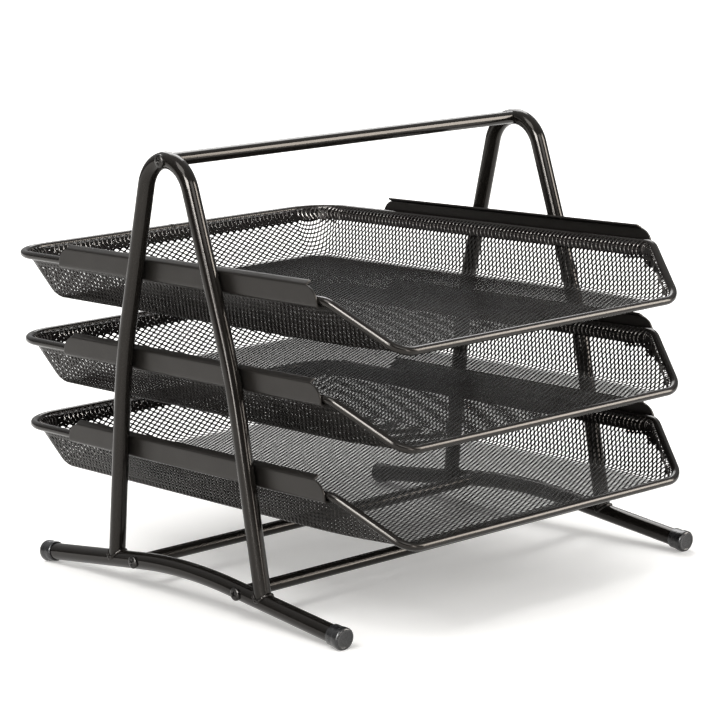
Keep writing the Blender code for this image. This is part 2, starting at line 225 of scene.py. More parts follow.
def skin(bm, rings, closed=False):
    """Faces from ring to ring, then a face over each end or, if closed, back to the first ring."""
    rows = [[bm.verts.new(point) for point in points] for points in rings]
    pairs = list(zip(rows, rows[1:]))
    if closed:
        pairs.append((rows[-1], rows[0]))
    else:
        bm.faces.new(rows[0])
        bm.faces.new(rows[-1])
    for first, second in pairs:
        for k in range(len(first)):
            bm.faces.new((first[k - 1], first[k], second[k], second[k - 1]))


def mesh_of(name, bm, sharp=SHARP):
    """A smooth mesh with sharp edges where faces turn by more than the angle in degrees."""
    bmesh.ops.recalc_face_normals(bm, faces=bm.faces)
    mesh = bpy.data.meshes.new(name)
    bm.to_mesh(mesh)
    bm.free()
    mesh.shade_smooth()
    mesh.set_sharp_from_angle(angle=math.radians(sharp))
    return mesh


def baked(name, mesh, modifiers):
    """The mesh after the modifiers that the function given adds to a passing object."""
    obj = bpy.data.objects.new(name, mesh)
    bpy.context.scene.collection.objects.link(obj)
    modifiers(obj)
    bpy.context.view_layer.update()
    graph = bpy.context.evaluated_depsgraph_get()
    made = bpy.data.meshes.new_from_object(obj.evaluated_get(graph))
    made.name = name
    bpy.data.objects.remove(obj)
    made.set_sharp_from_angle(angle=math.radians(SHARP))
    return made


def minus(mesh, cutter_mesh):
    """The mesh with a closed shape cut out of it."""
    cutter = bpy.data.objects.new("cutter", cutter_mesh)
    bpy.context.scene.collection.objects.link(cutter)

    def add(obj):
        cut = obj.modifiers.new("cut", "BOOLEAN")
        cut.operation = "DIFFERENCE"
        cut.solver = "EXACT"
        cut.object = cutter

    made = baked(mesh.name, mesh, add)
    bpy.data.objects.remove(cutter)
    return made


def moved(mesh, matrix):
    """A copy of the mesh at another place."""
    copy = mesh.copy()
    copy.transform(matrix)
    return copy


def piece(name, mesh, paint, body, slot, nodes=()):
    """One visible piece that rides on a body, with its finish and the CAD nodes it stands for."""
    mesh.materials.clear()
    mesh.materials.append(paint)
    obj = bpy.data.objects.new(name, mesh)
    bpy.context.scene.collection.objects.link(obj)
    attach(obj, body)
    if nodes:
        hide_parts(*nodes)


# ---------------------------------------------------------------- materials


class Nodes:
    """A short way to write a material's node tree."""

    def __init__(self, name):
        self.material = bpy.data.materials.new(name)
        self.material.use_nodes = True
        self.tree = self.material.node_tree
        self.shader = self.tree.nodes["Principled BSDF"]

    def add(self, kind, inputs=(), **settings):
        """A new node, with values or links for its inputs and settings of its own."""
        node = self.tree.nodes.new(kind)
        for key, value in settings.items():
            setattr(node, key, value)
        for socket, value in dict(inputs).items():
            self.feed(node.inputs[socket], value)
        return node

    def feed(self, socket, value):
        if isinstance(value, bpy.types.NodeSocket):
            self.tree.links.new(value, socket)
        else:
            socket.default_value = value

    def place(self):
        return self.add("ShaderNodeTexCoord").outputs["Object"]

    def noise(self, scale, detail=3.0, rough=0.5):
        """Noise that is fixed to the object, about scale spots to a metre."""
        inputs = {"Vector": self.place(), "Scale": scale, "Detail": detail, "Roughness": rough}
        return self.add("ShaderNodeTexNoise", inputs).outputs["Fac"]

    def ramp(self, value, stops):
        node = self.add("ShaderNodeValToRGB", {"Fac": value})
        elements = node.color_ramp.elements
        while len(elements) < len(stops):
            elements.new(0.5)
        for element, (at, colour) in zip(elements, stops):
            element.position = at
            element.color = (*colour, 1)
        return node.outputs["Color"]

    def span(self, value, low, high, start=0.3, end=0.7):
        """The value's run from start to end, stretched to run from low to high."""
        inputs = {"Value": value, "From Min": start, "From Max": end, "To Min": low, "To Max": high}
        return self.add("ShaderNodeMapRange", inputs).outputs["Result"]

    def bump(self, height, strength, distance, below=None):
        inputs = {"Height": height, "Strength": strength, "Distance": distance}
        if below is not None:
            inputs["Normal"] = below
        return self.add("ShaderNodeBump", inputs).outputs["Normal"]

    def mix(self, factor, first, second, blend="MIX"):
        node = self.add("ShaderNodeMix", data_type="RGBA", blend_type=blend)
        self.feed(node.inputs[0], factor)
        self.feed(node.inputs[6], first)
        self.feed(node.inputs[7], second)
        return node.outputs[2]


def powder_coat(name, dark, light, roughness, peel, specular):
    """Paint baked on steel: faint cloudy tone, fine orange peel, rubbed spots that shine more."""
    nodes = Nodes(name)
    cloud = nodes.noise(22.0, 4.0, 0.6)
    grain = nodes.noise(2600.0, 2.0, 0.5)
    tone = nodes.mix(nodes.span(cloud, 0.0, 1.0), (*dark, 1), (*light, 1))
    fleck = nodes.ramp(grain, [(0.40, (0.82, 0.82, 0.82)), (0.62, (1.12, 1.10, 1.08))])
    rub = nodes.noise(60.0, 3.0, 0.6)
    shine = nodes.span(rub, roughness * 1.15, roughness * 0.85)
    skin_bump = nodes.bump(nodes.noise(900.0, 2.0, 0.4), peel, 0.0004)
    inputs = nodes.shader.inputs
    nodes.feed(inputs["Base Color"], nodes.mix(1.0, tone, fleck, "MULTIPLY"))
    nodes.feed(inputs["Roughness"], shine)
    nodes.feed(inputs["Normal"], nodes.bump(grain, peel * 0.5, 0.0001, skin_bump))
    inputs["Specular IOR Level"].default_value = specular
    inputs["Specular Tint"].default_value = (1.0, 0.94, 0.88, 1)
    return nodes.material


def speckled(name, dark, light, roughness, scales, tone_detail, relief, metallic=0.0):
    """Plastic or bare steel whose tone, shine and relief each vary at a scale of their own."""
    nodes = Nodes(name)
    tone_scale, shine_scale, relief_scale = scales
    inputs = nodes.shader.inputs
    tone = nodes.ramp(nodes.noise(tone_scale, tone_detail), [(0.35, dark), (0.7, light)])
    nodes.feed(inputs["Base Color"], tone)
    nodes.feed(inputs["Roughness"], nodes.span(nodes.noise(shine_scale), *roughness))
    nodes.feed(inputs["Normal"], nodes.bump(nodes.noise(relief_scale, 2.0), relief, 0.0001))
    inputs["Metallic"].default_value = metallic
    return nodes.material


# ---------------------------------------------------------------- side frames


def base_z(y):
    """Height of a base tube's middle line at a distance from its own middle."""
    return BASE_PEAK_Z - BASE_FALL * abs(y)


def hoop_path(shift):
    """A hoop's middle line, to feet on a base tube whose middle is shifted by that much."""
    lean = math.atan(UPPER_LEAN)
    centre_z = ARCH_TOP_Z - ARCH_RADIUS
    peak_z = centre_z + ARCH_RADIUS / math.sin(lean)
    bend = Vector((0, (peak_z - LEG_BEND_Z) * UPPER_LEAN, LEG_BEND_Z))
    front = [Vector((0, -point.y, point.z)) for point in (bend, leg_foot(bend, -shift))]
    corners = [leg_foot(bend, shift), bend, Vector((0, 0, peak_z)), *front]
    radii = (0, LEG_BEND_RADIUS, ARCH_RADIUS, LEG_BEND_RADIUS, 0)
    return rounded(corners, radii, (0, 16, 40, 16, 0))


def leg_foot(bend, shift):
    """Where a lower leg's middle line meets the base tube's, below its bend at +Y."""
    drop = bend.z - BASE_PEAK_Z - BASE_FALL * shift
    y = (bend.y + LOWER_LEAN * drop) / (1 - LOWER_LEAN * BASE_FALL)
    return Vector((0, y, base_z(y - shift)))


def coped(points, along, centre, axis, radius):
    """The points moved along a line each to where they meet a round tube."""
    made = []
    run = along - along.dot(axis) * axis
    for point in points:
        off = point - centre
        off -= off.dot(axis) * axis
        slant = off.dot(run)
        depth = slant * slant - run.dot(run) * (off.dot(off) - radius * radius)
        made.append(point - along * (slant + math.sqrt(max(depth, 0))) / run.dot(run))
    return made


def hollow_tube(path, diameter, trim=None):
    """Rings of a tube's outside and then its bore, with its ends trimmed to fit if need be."""
    ways = directions(path, closed=False)
    rings = []
    for radius, order in ((diameter / 2, 1), (diameter / 2 - TUBE_WALL, -1)):
        rows = [ring(p, way, OUT, radius) for p, way in zip(path, ways)]
        if trim:
            rows[0] = trim(rows[0], path[0], -ways[0])
            rows[-1] = trim(rows[-1], path[-1], ways[-1])
        rings += rows[::order]
    return rings


def foot_axis(foot):
    """The way outwards along the base tube's straight run at a foot."""
    return Vector((0, math.copysign(1, foot.y), -BASE_FALL)).normalized()


def hoop_mesh(shift):
    """A hoop with its feet cut to the base tube's round and a hole for the handle's screw."""

    def trim(points, foot, down):
        starts = [point - down * BASE_D for point in points]
        return coped(starts, down, foot, foot_axis(foot), BASE_D / 2 - TOUCH)

    bm = bmesh.new()
    skin(bm, hollow_tube(hoop_path(shift), HOOP_D, trim), closed=True)
    return minus(mesh_of("hoop", bm), screw_hole_mesh(HOOP_D, [(0, ARCH_TOP_Z)]))


def weld_mesh(shift):
    """A bead of weld round each leg of a hoop, where it stands on the base tube."""
    path = hoop_path(shift)
    rng = np.random.default_rng(7)
    bm = bmesh.new()
    for foot, inner in ((path[0], path[1]), (path[-1], path[-2])):
        down = (foot - inner).normalized()
        axis = foot_axis(foot)
        starts = ring(foot - down * BASE_D, down, OUT, HOOP_D / 2 + 0.25 * MM, FINE_SIDES)
        seam = coped(starts, down, foot, axis, BASE_D / 2 + TOUCH)
        ways = directions(seam, closed=True)
        rings = []
        for k, (point, way) in enumerate(zip(seam, ways)):
            ripple = 1 + 0.14 * math.sin(k * 2 * math.pi / 4) + rng.uniform(-0.05, 0.05)
            rings.append(ring(point, way, -down, WELD_BEAD * ripple, 12))
        skin(bm, rings, closed=True)
    return mesh_of("weld", bm, sharp=80)


def base_tube_mesh():
    """A base tube bowed up in its middle, as long as its caps leave room for."""
    end_y = CAP_END_Y - CAP_FLOOR - GAP
    corners = [Vector((0, -end_y, base_z(end_y))), Vector((0, 0, BASE_PEAK_Z))]
    corners.append(Vector((0, end_y, base_z(end_y))))
    path = rounded(corners, (0, BASE_BEND_RADIUS, 0), (0, 24, 0))
    bm = bmesh.new()
    skin(bm, hollow_tube(path, BASE_D), closed=True)
    return mesh_of("base_tube", bm)


def screw_hole_mesh(tube_d, places):
    """What is cut from a tube for its screws: holes right through and a flat spot for each head."""
    spot = tube_d / 2 - SPOT_DEPTH
    hole, rim = SCREW_HOLE_D / 2, SPOT_D / 2
    profile = ((-tube_d, hole), (spot, hole), (spot, rim), (tube_d, rim))
    bm = bmesh.new()
    for y, z in places:
        skin(bm, [ring(Vector((x, y, z)), OUT, UP, r, 32) for x, r in profile])
    return mesh_of("screw_hole", bm)


def foot_cap_mesh():
    """A cap at the +Y end of a base tube, with a rolled edge and a shallow dish in its face."""
    outward = Vector((0, 1, -BASE_FALL)).normalized()
    end = Vector((0, CAP_END_Y, base_z(CAP_END_Y)))
    full, lip, socket = CAP_D / 2, CAP_LIP_D / 2, BASE_D / 2 + 0.05 * MM
    neck = lip + 0.15 * MM
    profile = [(CAP_FLOOR, socket), (CAP_LENGTH, socket), (CAP_LENGTH + 0.05 * MM, lip - 0.5 * MM)]
    profile += [(CAP_LENGTH - 0.15 * MM, lip - 0.1 * MM), (CAP_LENGTH - 0.6 * MM, neck)]
    profile += [(CAP_NECK_END, neck)]
    profile += [(depth * MM, full - short * MM) for depth, short in CAP_SWELL]
    for step in range(9):
        turn = math.pi / 2 * step / 8
        profile.append((CAP_ROLL * (1 - math.sin(turn)), full - CAP_ROLL * (1 - math.cos(turn))))
    profile += [(depth * MM, full - short * MM) for depth, short in CAP_DISH]
    profile += [(0.3 * MM, 1.2 * MM)]
    rings = []
    for depth, radius in profile:
        points = ring(end - outward * depth, outward, UP, radius, FINE_SIDES)
        rings.append([Vector((p.x, p.y, max(p.z, 0))) for p in points])
    bm = bmesh.new()
    skin(bm, rings)
    return mesh_of("foot_cap", bm, sharp=50)


def bar_mesh(tube_d):
    """A bar between two tubes, its ends cut to their round and drilled for the screws."""
    clearance = tube_d / 2 + SNUG
    rings = []
    for side in (-1, 1):
        outward = OUT * side
        tube = OUT * HALF_SPAN * side
        near = tube - outward * tube_d
        bottom = tube - outward * (clearance + TAPPED_DEPTH)
        outer, mouth = (
            coped(ring(near, OUT, UP, radius), outward, tube, BACK, clearance)
            for radius in (BAR_D / 2, SCREW_HOLE_D / 2)
        )
        end = [ring(bottom, OUT, UP, SCREW_HOLE_D / 2), mouth, outer]
        rings += end if side < 0 else end[::-1]
    bm = bmesh.new()
    skin(bm, rings)
    return mesh_of("bar", bm)


def screw_mesh(tube_d):
    """A pan-head screw with a crowned head and a cross recess that tapers in."""
    under = tube_d / 2 - SPOT_DEPTH + SNUG
    shank, head = SCREW_D / 2, HEAD_D / 2
    tip, skirt = under - SCREW_LENGTH, under + HEAD_SKIRT
    profile = [(tip, shank - 0.6 * MM), (tip + 0.8 * MM, shank), (under, shank)]
    profile += [(under, head - 0.15 * MM), (under + 0.15 * MM, head), (skirt, head)]
    for step in range(1, 9):
        turn = math.pi / 2 * step / 9
        x = skirt + (HEAD_HEIGHT - HEAD_SKIRT) * math.sin(turn)
        profile.append((x, head * (0.25 + 0.75 * math.cos(turn) ** 0.8)))
    bm = bmesh.new()
    skin(bm, [ring(OUT * x, OUT, UP, radius) for x, radius in profile])
    screw = mesh_of("screw", bm)
    top = under + HEAD_HEIGHT
    bm = bmesh.new()
    tip_outline = cross_outline(top - RECESS_DEPTH, *RECESS_TIP)
    skin(bm, [tip_outline, cross_outline(top + 0.6 * MM, *RECESS_MOUTH)])
    return minus(screw, mesh_of("recess", bm))


def cross_outline(x, reach, half_slot):
    """The corners of a cross that faces along X."""
    points = []
    for quarter in range(4):
        turn = quarter * math.pi / 2
        c, s = math.cos(turn), math.sin(turn)
        for y, z in ((half_slot, half_slot), (reach, half_slot), (reach, -half_slot)):
            points.append(Vector((x, y * c + z * s, z * c - y * s)))
    return points


def rail_mesh():
    """A guide rail: flange, web and leaning lip folded from one sheet, its top corners rounded."""
    low = -WIRE_D / 2 - GAP - RAIL_SHEET / 2
    half = RAIL_SHEET / 2
    corners = [(-FLANGE, low), (-half, low), (-half, WEB_TOP), (-half - LIP_IN, WEB_TOP + LIP_UP)]
    corners = [Vector((x, 0, z)) for x, z in corners]
    profile = rounded(corners, (0, WEB_BEND, LIP_BEND, 0), (0, 6, 5, 0))
    profile = refined(profile, 1.2 * MM)
    rows = []
    for point in profile:
        rise = max(0.0, point.z - (WEB_TOP - RAIL_CORNER))
        rise += max(0.0, -half - point.x - 0.2 * MM) * (point.z > 0)
        rise = min(rise, RAIL_CORNER * 0.985)
        cut = RAIL_CORNER - math.sqrt(RAIL_CORNER**2 - rise**2)
        end = RAIL_LENGTH / 2 - cut
        inner = end - 1.0 * MM
        stops = [-end, -inner, -end * 0.5, 0, end * 0.5, inner, end]
        rows.append([Vector((point.x, y, point.z)) for y in stops])
    bm = bmesh.new()
    grid = [[bm.verts.new(p) for p in row] for row in rows]
    for first, second in zip(grid, grid[1:]):
        for k in range(len(first) - 1):
            bm.faces.new((first[k], first[k + 1], second[k + 1], second[k]))
    sheet = mesh_of("rail", bm, sharp=60)

    def thicken(obj):
        shell = obj.modifiers.new("sheet", "SOLIDIFY")
        shell.thickness = RAIL_SHEET
        shell.offset = 0
        shell.use_even_offset = True
        soft = obj.modifiers.new("edge", "BEVEL")
        soft.width = SHEET_EDGE
        soft.segments = 2
        soft.limit_method = "ANGLE"
        soft.angle_limit = math.radians(50)

    return baked("rail", sheet, thicken)


def refined(path, step):
    """The path with points added so that none are further apart than the step."""
    points = [path[0]]
    for a, b in zip(path, path[1:]):
        count = max(1, math.ceil((b - a).length / step))
        points += [a.lerp(b, k / count) for k in range(1, count + 1)]
    return points


def build_side(side, paint):
    """One side frame: hoop, base tube, caps, screws and guide rails.

    Its meshes are made facing +X; the left side is turned round, so its local +Y points forwards.
    """

    def add(name, mesh, finish, slot, *nodes):
        made = [f"{side}_{node}" for node in nodes]
        piece(f"{side}_{name}", mesh, paint[finish], "frame", slot, made)

    rear = 1 if side == "right" else -1  # the way local Y points
    turn = Matrix.Rotation(0.0 if rear > 0 else math.pi, 4, "Z")
    base = Matrix.Translation((HALF_SPAN * rear, FRAME_Y, 0)) @ turn
    shift = rear * BASE_SHIFT
    lower = base @ Matrix.Translation((0, shift, 0))
    spots = {"handle": (0, ARCH_TOP_Z, "hoop_screw")}
    holes = []
    for name, way in (("front", -rear), ("rear", rear)):
        at = lower @ Matrix.Rotation(0.0 if way > 0 else math.pi, 4, "Z")
        add(f"{name}_cap", moved(MESH["cap"], at), "plastic", "cap_plastic", f"{name}_foot_cap")
        y = rear * CROSS_BARS[name]
        holes.append((y - shift, base_z(y - shift)))
        spots[name] = (y, base_z(y - shift), "base_screw")
    tube = minus(MESH["base"], screw_hole_mesh(BASE_D, holes))
    add("hoop_tube", moved(hoop_mesh(shift), base), "tube", "tube_paint", "hoop")
    add("leg_welds", moved(weld_mesh(shift), base), "weld", "tube_paint")
    add("foot_tube", moved(tube, lower), "tube", "tube_paint", "base_tube")
    for number, (name, (y, z, kind)) in enumerate(spots.items()):
        driven = Matrix.Rotation(0.35 + number * 0.9, 4, "X")
        screw = moved(MESH[kind], base @ Matrix.Translation((0, y, z)) @ driven)
        add(f"{name}_screw_head", screw, "screw", "screw_steel", f"{name}_screw")
    for tier, height in TIERS.items():
        at = base @ Matrix.Translation((-HOOP_D / 2 - GAP, rear * RAIL_SHIFT, height))
        add(f"{tier}_guide", moved(MESH["rail"], at), "rail", "rail_paint", f"{tier}_rail")


def build_bars(paint):
    """The handle bar between the hoops and the two bars between the base tubes."""
    spots = {"handle_bar": (HOOP_D, 0, ARCH_TOP_Z)}
    for name, y in CROSS_BARS.items():
        spots[name + "_cross_bar"] = (BASE_D, y, base_z(y - BASE_SHIFT))
    for node, (tube_d, y, z) in spots.items():
        bar = moved(bar_mesh(tube_d), Matrix.Translation((0, FRAME_Y + y, z)))
        piece(node + "_rod", bar, paint["tube"], "frame", "tube_paint", [node])


# ---------------------------------------------------------------- trays


def rim_path():
    """A rim's middle line, level but for the slopes down to its low front bar."""
    front = Vector((RIM_X - SLOPE_INSET, -RIM_Y, -SLOPE_DROP))
    half = [front, Vector((RIM_X, SLOPE_Y, 0)), Vector((RIM_X, RIM_Y, 0))]
    corners = half + [Vector((-p.x, p.y, p.z)) for p in reversed(half)]
    radii = (RIM_FRONT_CORNER, SLOPE_BEND, RIM_BACK_CORNER)
    return rounded(corners, radii + radii[::-1], (14, 8, 20, 20, 8, 14))


def rim_mesh():
    """The closed wire round a tray."""
    path = rim_path()
    ways = directions(path, closed=True)
    bm = bmesh.new()
    skin(bm, [ring(p, way, UP, WIRE_D / 2, WIRE_SIDES) for p, way in zip(path, ways)], closed=True)
    return mesh_of("rim", bm)


def butt_weld_mesh():
    """The ground-down bead where the two ends of a rim's wire meet, in the back run."""
    bm = bmesh.new()
    skin(bm, [ring(Vector((x * MM, RIM_Y, 0)), OUT, UP, r * MM, WIRE_SIDES) for x, r in BUTT_BEAD])
    return mesh_of("butt_weld", bm, sharp=70)


def section(foot, way, edge, bend):
    """Points at even arc steps up the sheet from the flat of the floor to the edge."""
    bend = min(bend, 0.8 * (edge - foot).length)
    path = rounded((foot - way * FLOOR_BORDER, foot, edge), (0, bend, 0), (0, 12, 0))
    points = np.array([tuple(p) for p in path])
    arc = np.concatenate(([0], np.cumsum(np.linalg.norm(np.diff(points, axis=0), axis=1))))
    even = np.linspace(0, arc[-1], STATION_STEPS)
    return np.stack([np.interp(even, arc, points[:, k]) for k in range(3)], 1), arc[-1]


def side_edge():
    """The net's edge on the +X side: arrays of Y, X and Z from the front bar back.

    It keeps within the rim, a little more where the wire bends.
    """
    top = Vector((RIM_X - EDGE_INSET, SLOPE_Y + 0.25 * EDGE_INSET, EDGE_Z))
    front_x = RIM_X - SLOPE_INSET - 0.6 * EDGE_INSET
    front = Vector((front_x, EDGE_INSET - RIM_Y, FLOOR_Z + FRONT_LIP))
    corners = (Vector((0, front.y, front.z)), front, top, Vector((top.x, RIM_Y, top.z)))
    radii = (0, RIM_FRONT_CORNER - EDGE_INSET, SLOPE_BEND - EDGE_INSET, 0)
    path = np.array([tuple(p) for p in rounded(corners, radii, (0, 24, 8, 0))[1:]])
    return path[:, 1], path[:, 0], path[:, 2]


class Pan:
    """Bends a flat sheet, given as |x| and y, into the shape of a tray's basket."""

    def __init__(self):
        self.centre_x = FLOOR_X - FLOOR_CORNER
        self.centre_y = FLOOR_BACK_Y - FLOOR_CORNER
        self.front_y = EDGE_INSET - RIM_Y
        ys, xs, zs = side_edge()
        rows, lengths = [], []
        self.side_y = np.linspace(self.front_y, self.centre_y, SIDE_STATIONS)
        for y in self.side_y:
            edge = Vector((np.interp(y, ys, xs), y, np.interp(y, ys, zs)))
            narrow = TAPER * (max(0, TAPER_Y - y) / (TAPER_Y + RIM_Y)) ** 2
            foot = Vector((min(FLOOR_X - narrow, edge.x - 1 * MM), y, FLOOR_Z))
            row, length = section(foot, OUT, edge, FLOOR_BEND)
            rows.append(row)
            lengths.append(length)
        edge_corner = RIM_BACK_CORNER - EDGE_INSET
        edge_centre = Vector((RIM_X - RIM_BACK_CORNER, RIM_Y - RIM_BACK_CORNER, EDGE_Z))
        floor_centre = Vector((self.centre_x, self.centre_y, FLOOR_Z))
        for step in range(CORNER_STATIONS + 1):
            turn = math.pi / 2 * step / CORNER_STATIONS
            way = Vector((math.cos(turn), math.sin(turn), 0))
            bend = FLOOR_BEND + (CORNER_BEND - FLOOR_BEND) * math.sin(2 * turn)
            foot = floor_centre + way * FLOOR_CORNER
            row, length = section(foot, way, edge_centre + way * edge_corner, bend)
            rows.append(row)
            lengths.append(length)
        self.grid = np.array(rows)
        self.length = np.array(lengths)
        self.hem = HEM * np.clip((self.length - HEM_WALL) / HEM_RAMP, 0, 1)
        turn = np.clip((np.arange(len(rows)) - SIDE_STATIONS) / CORNER_STATIONS, 0, 1)
        self.stretch = SIDE_STRETCH + (BACK_STRETCH - SIDE_STRETCH) * turn
        self.normal = self.normals()

    def normals(self):
        """Unit normals of the grid, towards the inside of the tray."""
        along = np.gradient(self.grid, axis=0)
        up = np.gradient(self.grid, axis=1)
        made = np.cross(up, along)
        made /= np.maximum(np.linalg.norm(made, axis=2, keepdims=True), 1e-12)
        made[made[:, :1, 2].reshape(-1) < 0] *= -1
        return made

    def locate(self, x, y):
        """Station, distance up from the flat of the floor, and whether it is on the back wall."""
        station = np.interp(y, self.side_y, np.arange(SIDE_STATIONS))
        inner_x = np.interp(station, np.arange(len(self.length)), self.grid[:, 0, 0])
        climb = x - inner_x
        inner = FLOOR_CORNER - FLOOR_BORDER
        dx, dy = x - self.centre_x, y - self.centre_y
        corner = (dx > 0) & (dy > 0)
        turn = np.arctan2(dy, dx) / (math.pi / 2)
        station = np.where(corner, SIDE_STATIONS + turn * CORNER_STATIONS, station)
        climb = np.where(corner, np.hypot(dx, dy) - inner, climb)
        behind = (dx <= 0) & (dy > 0)
        station = np.where(behind, SIDE_STATIONS + CORNER_STATIONS, station)
        climb = np.where(behind, dy - inner, climb)
        stretch = np.interp(station, np.arange(len(self.stretch)), self.stretch)
        return station, np.where(climb > 0, climb * stretch, climb), behind

    def nearest(self, station):
        return np.clip(np.round(station).astype(int), 0, len(self.length) - 1)

    def reach(self, x, y):
        """How far a flat point is inside the sheet's end, in metres; below 0 it is cut off."""
        station, climb, _ = self.locate(x, y)
        k = self.nearest(station)
        return np.minimum(self.length[k] + self.hem[k] - climb, y - self.front_y)

    def pressed(self, x, y):
        """Which flat points are in the band along the edge where the sheet is pressed together."""
        station, climb, _ = self.locate(x, y)
        k = self.nearest(station)
        return climb > self.length[k] - np.maximum(self.hem[k], SLOPE_HEM)

    def spot(self, station, drop):
        """A point of the wall at a distance below its edge, and the normal there."""
        station = min(max(station, 0), len(self.length) - 1.001)
        low, part = int(station), station % 1
        length = self.length[low] * (1 - part) + self.length[low + 1] * part
        step = min(max(1 - drop / length, 0), 0.9999) * (STATION_STEPS - 1)
        k, f = int(step), step % 1
        made = []
        for table in (self.grid, self.normal):
            first = table[low, k] * (1 - f) + table[low, k + 1] * f
            second = table[low + 1, k] * (1 - f) + table[low + 1, k + 1] * f
            made.append(Vector(first * (1 - part) + second * part))
        return made

    def bend(self, x, y):
        """Points of the pan and their normals for flat points with x >= 0."""
        y = np.maximum(y, self.front_y)
        station, climb, behind = self.locate(x, y)
        low = np.clip(np.floor(station).astype(int), 0, len(self.length) - 2)
        part = np.clip(station - low, 0, 1)
        length = self.length[low] * (1 - part) + self.length[low + 1] * part
        hem = self.hem[low] * (1 - part) + self.hem[low + 1] * part
        climb = np.minimum(climb, length + hem)
        over = np.maximum(climb - length, 0)
        on_wall = np.where(over > 0, length - over, climb)
        step = np.clip(on_wall / length, 0, 1) * (STATION_STEPS - 1)
        k = np.clip(np.floor(step).astype(int), 0, STATION_STEPS - 2)
        f = (step - k)[:, None]
        p = part[:, None]

        def read(table):
            first = table[low, k] * (1 - f) + table[low, k + 1] * f
            second = table[low + 1, k] * (1 - f) + table[low + 1, k + 1] * f
            return first * (1 - p) + second * p

        point, normal = read(self.grid), read(self.normal)
        normal /= np.linalg.norm(normal, axis=1, keepdims=True)
        point = point + normal * (HEM_GAP * np.clip(over / (1.5 * MM), 0, 1))[:, None]
        point[:, 0] = np.where(behind, x, point[:, 0])
        flat = climb <= 0
        point[flat] = np.stack([x, y, np.full_like(x, FLOOR_Z)], 1)[flat]
        normal[flat] = (0, 0, 1)
        normal[behind, 0] = 0
        return point, normal


def hook_rows(pan):
    """Where the bowed strand ends start: station, stations per metre, and x on the back wall."""
    side = (SIDE_STATIONS - 1) / (pan.centre_y - pan.front_y)
    corner = CORNER_STATIONS / ((RIM_BACK_CORNER - EDGE_INSET) * math.pi / 2)
    rows = []
    y = pan.front_y + 3 * MM
    while y < pan.centre_y:
        rows.append(((y - pan.front_y) * side, side, 0))
        y += SLOPE_PITCH if y < SLOPE_Y else HOOK_PITCH
    for k in range(int(CORNER_STATIONS / corner / HOOK_PITCH)):
        rows.append((SIDE_STATIONS + k * HOOK_PITCH * corner, corner, 0))
    for k in range(int(2 * pan.centre_x / HOOK_PITCH)):
        rows.append((SIDE_STATIONS + CORNER_STATIONS, 0, pan.centre_x - k * HOOK_PITCH))
    return rows


def hook_mesh():
    """The bowed strand ends that lie close together along the hem, down to the front bar."""
    pan = Pan()
    rng = np.random.default_rng(11)
    bm = bmesh.new()
    for start, per_metre, x in hook_rows(pan):
        foot_y = pan.spot(start, 0)[0].y
        past_bend = foot_y - SLOPE_Y + SLOPE_BLEND / 2
        wall = min(max(past_bend / SLOPE_BLEND, 0), 1)  # 0 on a slope, 1 on a wall
        reach = (SLOPE_REACH + (HOOK_REACH - SLOPE_REACH) * wall) * rng.uniform(0.92, 1.04)
        length = pan.length[min(round(start), len(pan.length) - 1)]
        reach = min(reach, length - HOOK_CLEAR)
        if reach < HOOK_LEAST:
            continue
        path = []
        for k in range(HOOK_STEPS + 1):
            share = k / HOOK_STEPS
            bow = HOOK_BULGE * math.sin(math.pi * share) * (0.5 + 0.5 * wall)
            point, normal = pan.spot(start + bow * per_metre, reach * share)
            if not per_metre:
                point.x, normal.x = x - bow, 0
            arch = HOOK_ARCH * math.sin(math.pi * (k + 1) / (HOOK_STEPS + 2))
            path.append(point + normal.normalized() * (HEM_GAP * wall + arch))
        ways = directions(path, closed=False)
        rings = []
        for point, way in zip(path, ways):
            above = UP.cross(way) + BACK if per_metre else OUT
            rings.append(ring(point, way, above, HOOK_D / 2, 5))
        skin(bm, rings)
        if per_metre:
            skin(bm, [[Vector((-q.x, q.y, q.z)) for q in points] for points in rings])
    return mesh_of("hooks", bm, sharp=60)


def diamonds(pan, size):
    """Middles of the diamonds of a flat sheet that the basket keeps, in rows along X."""
    across, along = (int(reach / half) for reach, half in zip(SHEET_REACH, size))
    columns, rows = np.arange(-across, across + 1), np.arange(-along, along + 1)
    i, j = np.meshgrid(columns, rows, indexing="ij")
    chosen = (i + j) % 2 == 0
    cells = np.stack([i[chosen], j[chosen]], 1) * size
    kept = pan.reach(np.abs(cells[:, 0]), cells[:, 1]) > -0.1 * size[1]
    return cells[kept]


def diamond_faces(bond, hole, total):
    """Faces of each diamond with a hole, top, bottom and the hole's own wall, as rows of quads.

    bond and hole give the points at a diamond's corners and round its hole, and total how far on
    the same points of the underside are. A triangle names one point twice.
    """
    right, far, left, near = bond.T
    h = hole.T
    count = len(h)
    faces = [(right, far, h[1], h[0]), (far, left, h[3], h[2]), (left, near, h[4], h[3])]
    faces += [(near, right, h[0], h[5]), (far, h[2], h[1], h[1]), (near, h[5], h[4], h[4])]
    faces = [np.stack(face, 1) for face in faces]
    faces += [face[:, ::-1] + total for face in faces]
    for k in range(count):
        ahead = (k + 1) % count
        faces.append(np.stack((h[k], h[ahead], h[ahead] + total, h[k] + total), 1))
    return np.stack(faces, 1)


